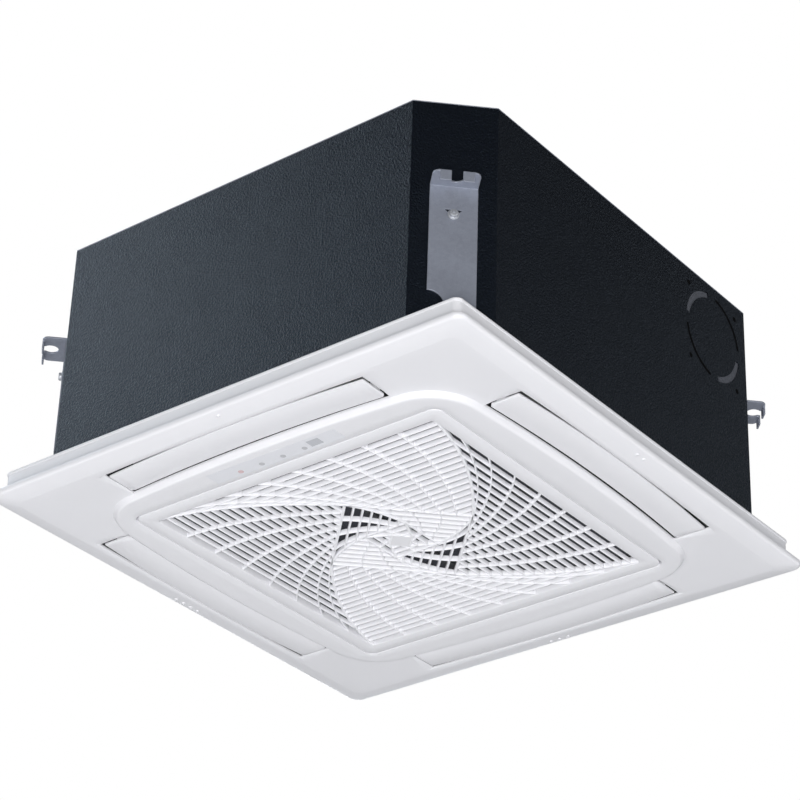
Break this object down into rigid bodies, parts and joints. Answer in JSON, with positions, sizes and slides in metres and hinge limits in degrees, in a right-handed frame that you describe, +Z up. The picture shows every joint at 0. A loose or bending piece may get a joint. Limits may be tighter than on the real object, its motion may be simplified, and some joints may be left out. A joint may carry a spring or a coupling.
{
  "type": "ceiling cassette air conditioner",
  "caption": "Compact four-way ceiling cassette air conditioner: dark octagonal body on hanger brackets, white panel with tilting flaps and a whirl-patterned intake grille that swings down",
  "frame": {"origin": "Centre of the four suspension holes, at mid thickness of the hanger ears", "axes": "+Z up towards the ceiling slab, -Y the front with the display, +X to the right seen from the display"},
  "size_m": [0.639, 0.637, 0.305],
  "materials": {
    "charcoal_coat": "matte",
    "zinc_steel": "satin",
    "white_foam": "matte",
    "dark_foam": "matte",
    "fin_aluminium": "satin",
    "copper": "satin",
    "nut_brass": "satin",
    "black_rubber": "matte",
    "fan_plastic": "matte",
    "motor_steel": "satin",
    "grey_plastic": "matte",
    "board_green": "satin",
    "panel_white": "satin",
    "display_white": "satin",
    "lens_clear": "gloss",
    "receiver_grey": "gloss",
    "filter_black": "matte",
    "filter_net": "matte"
  },
  "bodies": {
    "unit": {"casing": "charcoal_coat", "pipe_cover_plate": "charcoal_coat", "hanger_bracket_back_right": "zinc_steel", "hanger_bracket_back_left": "zinc_steel", "hanger_bracket_front_left": "zinc_steel", "hanger_bracket_front_right": "zinc_steel", "hanger_screws": "zinc_steel", "top_plate": "zinc_steel", "coil_end_plates": "zinc_steel", "motor_bolts": "zinc_steel", "pump_bracket": "zinc_steel", "control_box": "zinc_steel", "control_box_lid": "zinc_steel", "panel_screws": "zinc_steel", "grille_hinge_pins": "zinc_steel", "drain_pan": "white_foam", "side_insulation": "dark_foam", "top_insulation": "dark_foam", "outlet_ducts": "dark_foam", "heat_exchanger_fins": "fin_aluminium", "coil_return_bends": "copper", "liquid_pipe": "copper", "gas_pipe": "copper", "liquid_flare_nut": "nut_brass", "gas_flare_nut": "nut_brass", "cable_grommet": "black_rubber", "motor_rubber_mounts": "black_rubber", "panel_gaskets": "black_rubber", "bell_mouth": "fan_plastic", "fan_motor": "motor_steel", "flap_motor_front": "motor_steel", "flap_motor_right": "motor_steel", "flap_motor_back": "motor_steel", "flap_motor_left": "motor_steel", "drain_pump": "grey_plastic", "drain_pipe": "grey_plastic", "float_switch": "grey_plastic", "terminal_block": "grey_plastic", "catch_housing_left": "grey_plastic", "catch_housing_right": "grey_plastic", "control_board": "board_green", "display_board": "board_green", "panel_frame": "panel_white", "display_plate": "display_white", "indicator_lenses": "lens_clear", "receiver_window": "receiver_grey"},
    "front_flap": {"flap_front": "panel_white"},
    "right_flap": {"flap_right": "panel_white"},
    "back_flap": {"flap_back": "panel_white"},
    "left_flap": {"flap_left": "panel_white"},
    "grille": {"intake_grille": "panel_white", "filter_frame": "filter_black", "filter_mesh": "filter_net"},
    "fan": {"turbo_fan": "fan_plastic", "motor_shaft": "zinc_steel", "fan_nut": "zinc_steel"},
    "left_plunger": {"catch_plunger_left": "grey_plastic"},
    "right_plunger": {"catch_plunger_right": "grey_plastic"},
    "float_body": {"float": "grey_plastic"},
    "impeller": {"pump_impeller": "grey_plastic"}
  },
  "joints": [
    {"name": "front_flap_tilt", "type": "hinge", "parent": "unit", "child": "front_flap", "pos_m": [0, -0.252, -0.186], "axis": [1, 0, 0], "range_deg": [0, 55]},
    {"name": "right_flap_tilt", "type": "hinge", "parent": "unit", "child": "right_flap", "pos_m": [0.252, 0, -0.186], "axis": [0, 1, 0], "range_deg": [0, 55]},
    {"name": "back_flap_tilt", "type": "hinge", "parent": "unit", "child": "back_flap", "pos_m": [0, 0.252, -0.186], "axis": [-1, 0, 0], "range_deg": [0, 55]},
    {"name": "left_flap_tilt", "type": "hinge", "parent": "unit", "child": "left_flap", "pos_m": [-0.252, 0, -0.186], "axis": [0, -1, 0], "range_deg": [0, 55]},
    {"name": "grille_hinge", "type": "hinge", "parent": "unit", "child": "grille", "pos_m": [0, 0.192, -0.197], "axis": [1, 0, 0], "range_deg": [0, 85]},
    {"name": "fan_spin", "type": "hinge", "parent": "unit", "child": "fan", "pos_m": [0, 0, 0.024], "axis": [0, 0, 1], "continuous": true},
    {"name": "left_catch_press", "type": "slide", "parent": "unit", "child": "left_plunger", "axis": [0, 0, 1], "range_m": [0, 0.004], "stiffness_N_per_m": 200},
    {"name": "right_catch_press", "type": "slide", "parent": "unit", "child": "right_plunger", "axis": [0, 0, 1], "range_m": [0, 0.004], "stiffness_N_per_m": 200},
    {"name": "float_rise", "type": "slide", "parent": "unit", "child": "float_body", "axis": [0, 0, 1], "range_m": [0, 0.012]},
    {"name": "impeller_spin", "type": "hinge", "parent": "unit", "child": "impeller", "pos_m": [-0.225, 0.207, -0.13], "axis": [0, 0, 1], "continuous": true}
  ]
}
